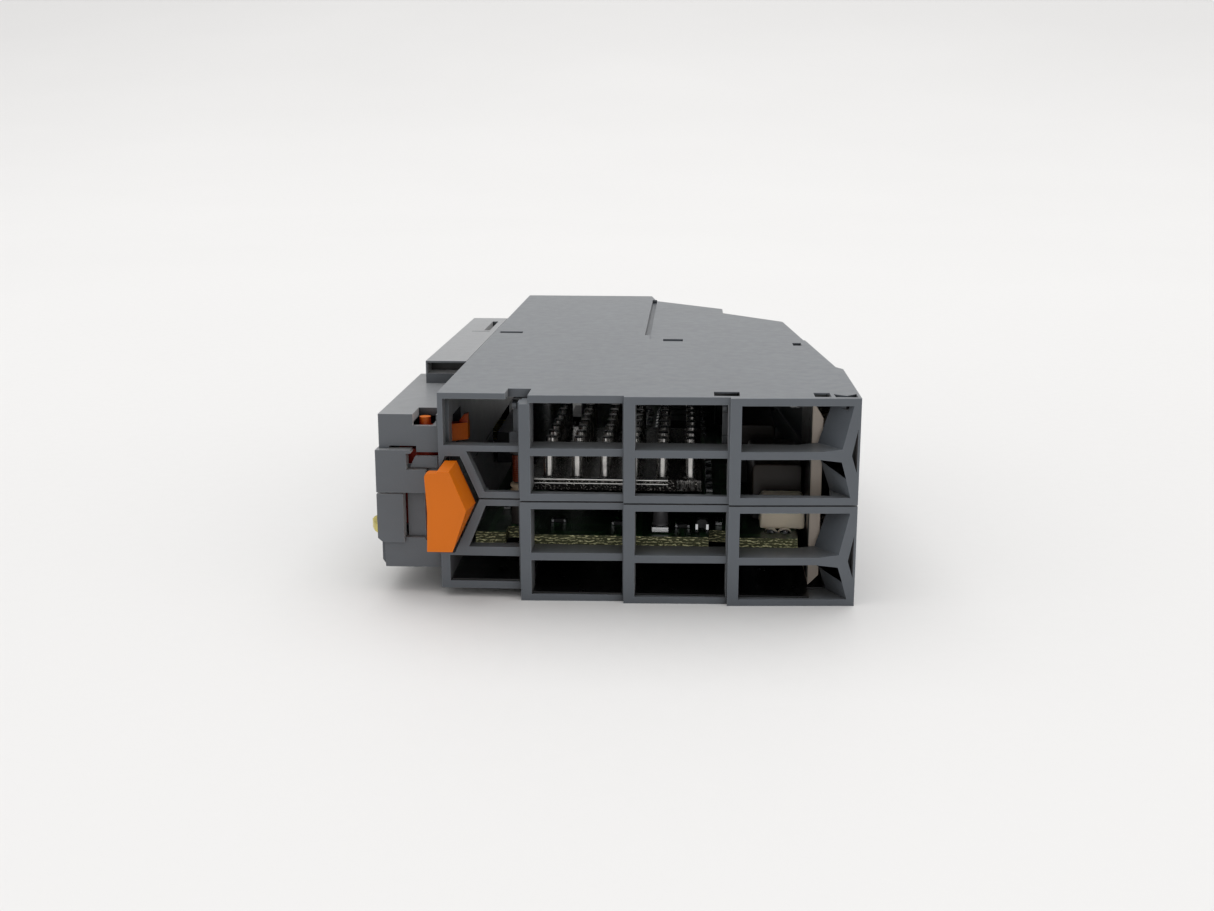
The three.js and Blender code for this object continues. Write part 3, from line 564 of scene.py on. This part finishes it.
def electrolytic(node, collar, finishes):
    """A can, crimped above its foot, with a cross scored in its top. The finishes are the can's
    and the foot's."""
    low, high = extent(node)
    x, y = centre_of(low, high)
    radius = (high.x - low.x) / 2 - 0.15
    foot = low.z + CAN_FOOT
    crimp = foot + 0.09 * (high.z - foot)
    dome = radius * 0.12
    solid = Solid()
    solid.add(block((low.x, low.y, low.z), (high.x, high.y, foot), collar), 1)
    solid.add(turned(x, y, [
        (radius * 0.9, foot - 0.05), (radius, foot + 0.05), (radius, crimp - dome), (radius * 0.93, crimp),
        (radius, crimp + dome), (radius, high.z - dome), (radius - dome, high.z),
    ], 32))
    for across, along in (SCORE, SCORE[::-1]):
        dx, dy = radius * across, radius * along
        solid.add(block((x - dx, y - dy, high.z - 0.06), (x + dx, y + dy, high.z), 0.01), 1)
    piece(f"{node}_can", solid, finishes, [node])


def choke():
    """Wire wound on a ferrite core, between the rim of a moulded bobbin and the core's cap."""
    low, high = extent("choke")
    x, y = centre_of(low, high)
    rim = (high.x - low.x) / 2
    core = rim - 0.1
    groove = rim - 0.25
    foot = low.z + 3.9
    wound = foot + 1.3
    cap = high.z - 0.6
    solid = Solid()
    solid.add(turned(x, y, [(core - 0.1, low.z), (core, low.z + 0.2), (core, foot)]), 1)
    solid.add(turned(x, y, [
        (core, foot - 0.05), (rim, foot + 0.1), (rim, foot + 0.45), (groove, foot + 0.55),
        (groove, foot + 0.75), (rim, foot + 0.85), (rim, wound - 0.1), (rim - 0.15, wound),
    ]), 2)
    solid.add(turned(x, y, [(rim - 0.5, wound - 0.1), (rim - 0.5, cap + 0.1)]), 1)
    solid.add(turned(x, y, [(core, cap), (rim, cap + 0.1), (rim, high.z - 0.1), (core, high.z)]), 1)

    radius = groove - WIRE_GAUGE
    climb = cap - wound - 2 * WIRE_GAUGE
    steps = int((cap - wound) / (2 * WIRE_GAUGE) * STEPS_PER_TURN)
    path = []
    for k in range(steps + 1):
        angle = math.tau * k / STEPS_PER_TURN
        height = wound + WIRE_GAUGE + climb * k / steps
        path.append((x + radius * math.cos(angle), y + radius * math.sin(angle), height))
    solid.add(swept(path, round_section(WIRE_GAUGE, 6), (0, 0, 1)))
    piece("choke_winding", solid, [ENAMEL, FERRITE, BOBBIN], ["choke"])


# -------------------------------------------------------------------------------------- leads
BOARD_UNDER = extent("main_board")[0].z
BOARD_TOP = extent("main_board")[1].z
POWER_TOP = extent("power_board")[1].z
X_AXIS = Vector((1, 0, 0))
Y_AXIS = Vector((0, 1, 0))
QUAD_LEADS = 12
DRIVER_LEADS = 6


def gull_wing(solid, foot, out, reach, rise, width, thickness=0.14):
    """A lead that leaves a package, drops to the board and turns outwards to its foot."""
    foot = Vector(foot)
    lift = Vector((0, 0, rise))
    heel = foot - out * reach * 0.35 + Vector((0, 0, thickness))
    path = [foot - out * reach + lift, foot - out * reach * 0.55 + lift, heel, foot]
    solid.add(swept(path, flat_section(width, thickness), (-out.y, out.x, 0)))


def fillet(x, y, z, radius, height):
    """A solder joint, drawn up around its lead."""
    return turned(x, y, [(radius, z), (radius * 0.75, z + height * 0.35), (radius * 0.42, z + height * 0.8),
                         (radius * 0.2, z + height)], 16)


def transistor_leads(solid):
    """Two leads in front, with solder drawn up them, and one behind."""
    low, high = extent("signal_transistor")
    shape = {"rise": 0.75, "width": 0.34}
    foot = BOARD_TOP + 0.1
    for x in (low.x + 0.05, high.x - 0.05):
        gull_wing(solid, (x, low.y - 0.45, foot), -Y_AXIS, reach=0.75, **shape)
        solid.add(fillet(x, low.y - 0.35, BOARD_TOP - 0.02, 0.3, 0.3))
    gull_wing(solid, ((low.x + high.x) / 2, high.y + 0.5, foot), Y_AXIS, reach=0.8, **shape)


def quad_leads(solid):
    """A row of leads on each of the microcontroller's four sides."""
    low, high = extent("microcontroller")
    shape = {"reach": 1.1, "rise": 0.7, "width": 0.34}
    foot = BOARD_TOP + 0.08
    for k in range(QUAD_LEADS):
        share = 0.08 + 0.84 * k / (QUAD_LEADS - 1)
        x = low.x + share * (high.x - low.x)
        y = low.y + share * (high.y - low.y)
        gull_wing(solid, (x, low.y - 0.9, foot), -Y_AXIS, **shape)
        gull_wing(solid, (x, high.y + 0.9, foot), Y_AXIS, **shape)
        gull_wing(solid, (low.x - 0.9, y, foot), -X_AXIS, **shape)
        gull_wing(solid, (high.x + 0.9, y, foot), X_AXIS, **shape)


def optocoupler_leads(solid):
    """Two leads on either side of each optocoupler."""
    shape = {"reach": 1.1, "rise": 1.0, "width": 0.6, "thickness": 0.2}
    foot = BOARD_TOP + 0.1
    for node in OPTOCOUPLERS:
        low, high = extent(node)
        for y in (low.y + 0.8, high.y - 0.8):
            gull_wing(solid, (low.x - 0.9, y, foot), -X_AXIS, **shape)
            gull_wing(solid, (high.x + 0.9, y, foot), X_AXIS, **shape)


def driver_leads(solid):
    """A row of leads behind the driver chip."""
    low, high = extent("driver_chip")
    shape = {"reach": 1.2, "rise": 0.6, "width": 0.7, "thickness": 0.2}
    for k in range(DRIVER_LEADS):
        x = low.x + 1.2 + k * (high.x - low.x - 2.4) / (DRIVER_LEADS - 1)
        gull_wing(solid, (x, high.y + 1.0, POWER_TOP + 0.1), Y_AXIS, **shape)


def package_leads():
    """Leads of the surface-mounted packages."""
    solid = Solid()
    transistor_leads(solid)
    quad_leads(solid)
    optocoupler_leads(solid)
    driver_leads(solid)
    piece("package_leads", solid, [TIN])


def relay_leads(node, inset, middle):
    """Where a relay's leads pass the board: three along each side, the middle one at a given length."""
    low, high = extent(node)
    return [(x, y) for x in (low.x + inset, high.x - inset)
            for y in (low.y + 2, low.y + middle, high.y - 2)]


def capacitor_leads(node):
    """Where a capacitor's two leads pass the board."""
    x, y = centre_of(*extent(node))
    return [(x, y - 1.8), (x, y + 1.8)]


def connector_spots():
    """Where the pins of the connector between the boards stand."""
    low, high = extent("board_connector")
    return [(low.x + 1.2 + k * 2.54, (low.y + high.y) / 2) for k in range(7)]


def through_joints():
    """Solder joints: those under the main board, and the two in front of the fuse block."""
    spots = relay_leads("near_relay", 1.2, 7.5) + relay_leads("far_relay", 1.0, 11) + connector_spots()
    spots += capacitor_leads("tall_capacitor") + capacitor_leads("bulk_capacitor")
    solid = Solid()
    for x, y in spots:
        solid.add(turned(x, y, [(0.85, BOARD_UNDER + 0.02), (0.6, BOARD_UNDER - 0.3),
                                (0.36, BOARD_UNDER - 0.75), (0.3, BOARD_UNDER - 1.0)], 14))
    low, high = extent("fuse_block")
    for x in (low.x + 1.3, high.x - 2.5):
        solid.add(turned(x, low.y - 0.7, [(0.85, BOARD_TOP - 0.02), (0.7, BOARD_TOP + 0.22),
                                          (0.4, BOARD_TOP + 0.42), (0.12, BOARD_TOP + 0.48)], 20))
    piece("solder_joints", solid, [TIN])


def chip_block(foot, half, height, cut):
    """A block standing on foot, half as long and wide as given on either side of it."""
    return block(foot - half, foot + half + Vector((0, 0, height)), cut)


def chip_part(solid, foot, along):
    """A dark body between two tinned ends, lying along an axis."""
    across = Vector((along.y, along.x, 0))
    solid.add(chip_block(foot, along * 0.6 + across * 0.42, 0.45, 0.04))
    for side in (-1, 1):
        cap = foot + along * side * 0.75
        solid.add(chip_block(cap, along * 0.2 + across * 0.45, 0.48, 0.08), 1)


def chip_parts():
    """Chip resistors and capacitors: a few near the vents and in rows further in."""
    main = [(28.9, 8.6, X_AXIS), (33.4, 10.4, Y_AXIS), (21.0, 9.4, X_AXIS), (13.4, 10.2, X_AXIS),
            (6.2, 16.4, Y_AXIS), (8.4, 21.0, X_AXIS), (6.0, 27.0, Y_AXIS)]
    main += [(22.5 + 2.2 * k, 82.0, Y_AXIS) for k in range(5)]
    main += [(6.0, 60.0 + 3.0 * k, X_AXIS) for k in range(9)]
    main += [(23.0, 64.1 + 4.9 * k, Y_AXIS) for k in range(4)]
    power = [(32.2, 12.0 + 4.0 * k, Y_AXIS) for k in range(5)]
    solid = Solid()
    for spots, height in ((main, BOARD_TOP), (power, POWER_TOP)):
        for x, y, along in spots:
            chip_part(solid, Vector((x, y, height)), along)
    piece("chip_parts", solid, [BLACK, TIN])


def connector_pins():
    """Square header pins between the boards, with solder around their upper ends."""
    top = extent("board_connector")[1].z
    solid = Solid()
    for x, y in connector_spots():
        solid.add(block((x - 0.3, y - 0.3, top - 0.2), (x + 0.3, y + 0.3, top + 2.3), 0.08))
        solid.add(turned(x, y, [(0.75, top + 1.44), (0.5, top + 1.75), (0.34, top + 2.1)], 12))
    piece("board_connector_pins", solid, [TIN])


def bus_contacts():
    """Contact blades of the bus plug."""
    low, high = extent("bus_plug")
    count, inset = 10, 2.1
    bottom, top = 9.35, 10.3
    solid = Solid()
    for k in range(count):
        y = low.y + inset + k * (high.y - low.y - 2 * inset) / (count - 1)
        solid.add(block((low.x + 0.4, y - 0.35, bottom), (low.x + 2.9, y + 0.35, top), 0.08))
    piece("bus_plug_contacts", solid, [BRASS])


def painted_shade_screen():
    """Thin black screen on the board side of the light guide: painted shade, darkening that side where
    shadow falls.
    """
    low, high = extent("light_guide")
    screen = block((low.x - 0.12, low.y + 0.1, low.z + 1.0), (low.x - 0.02, high.y, high.z - 0.1), 0.02)
    piece("painted_shade_screen", Solid().add(screen), [SHADE_FILM])


heat_sink()
painted_shade_screen()
electrolytic("small_capacitor", 0.12, [SLEEVE, TIN])
electrolytic("tall_capacitor", 0.3, [CAN, CONNECTOR])
electrolytic("bulk_capacitor", 0.3, [CAN, CONNECTOR])
choke()
package_leads()
through_joints()
chip_parts()
connector_pins()
bus_contacts()


# --------------------------------------------------------------------------------------- studio
def backdrop():
    """A pale sweep: flat floor under the object, curving up gently behind it."""
    width, near, far, radius, height = 6.0, -2.5, 0.5, 3.0, 3.2
    steps = 24
    profile = [(near, 0.0), (far, 0.0)]
    for k in range(1, steps + 1):
        angle = math.pi / 2 * k / steps
        profile.append((far + radius * math.sin(angle), radius * (1 - math.cos(angle))))
    profile.append((far + radius, height))
    points = [(side * width / 2, y, z) for y, z in profile for side in (-1, 1)]
    faces = [(2 * k, 2 * k + 1, 2 * k + 3, 2 * k + 2) for k in range(len(profile) - 1)]
    mesh = bpy.data.meshes.new("studio_floor")
    mesh.from_pydata(points, [], faces)
    mesh.shade_smooth()
    mesh.materials.append(studio_paper())
    floor = bpy.data.objects.new("studio_floor", mesh)
    bpy.context.scene.collection.objects.link(floor)


def soft_light(name, location, target, size, power):
    """A rectangular white lamp that faces its target."""
    data = bpy.data.lights.new(name, "AREA")
    data.shape = "RECTANGLE"
    data.size, data.size_y = size
    data.energy = power
    light = bpy.data.objects.new(name, data)
    light.location = location
    light.rotation_euler = (Vector(target) - Vector(location)).to_track_quat("-Z", "Y").to_euler()
    bpy.context.scene.collection.objects.link(light)


def studio():
    """Even white surroundings, one large lamp overhead and a weak one on the backdrop."""
    world = bpy.data.worlds.new("studio")
    world.use_nodes = True
    background = world.node_tree.nodes["Background"]
    background.inputs["Color"].default_value = (1.0, 1.0, 1.0, 1.0)
    background.inputs["Strength"].default_value = 0.78
    bpy.context.scene.world = world
    middle = (0.0, 0.0, 0.012)
    soft_light("overhead", location=(0.0, 0.4, 1.5), target=middle, size=(1.9, 1.9), power=15.0)
    soft_light("backdrop_wash", location=(0.0, 1.4, 1.9), target=(0.0, 2.5, 0.8), size=(3.0, 0.8),
               power=1.0)
    bpy.context.scene.view_settings.view_transform = "Standard"


def camera():
    """Looks a little down on the vented end, from just right of the object's middle."""
    pitch, yaw = 0.2288, 0.0586
    data = bpy.data.cameras.new("camera")
    data.lens = 42.01
    data.sensor_width = 36.0
    thing = bpy.data.objects.new("camera", data)
    thing.location = (0.00976, -0.20858, 0.05544)
    thing.rotation_euler = (math.pi / 2 - pitch, 0.0, yaw)
    bpy.context.scene.collection.objects.link(thing)
    bpy.context.scene.camera = thing


backdrop()
studio()
camera()
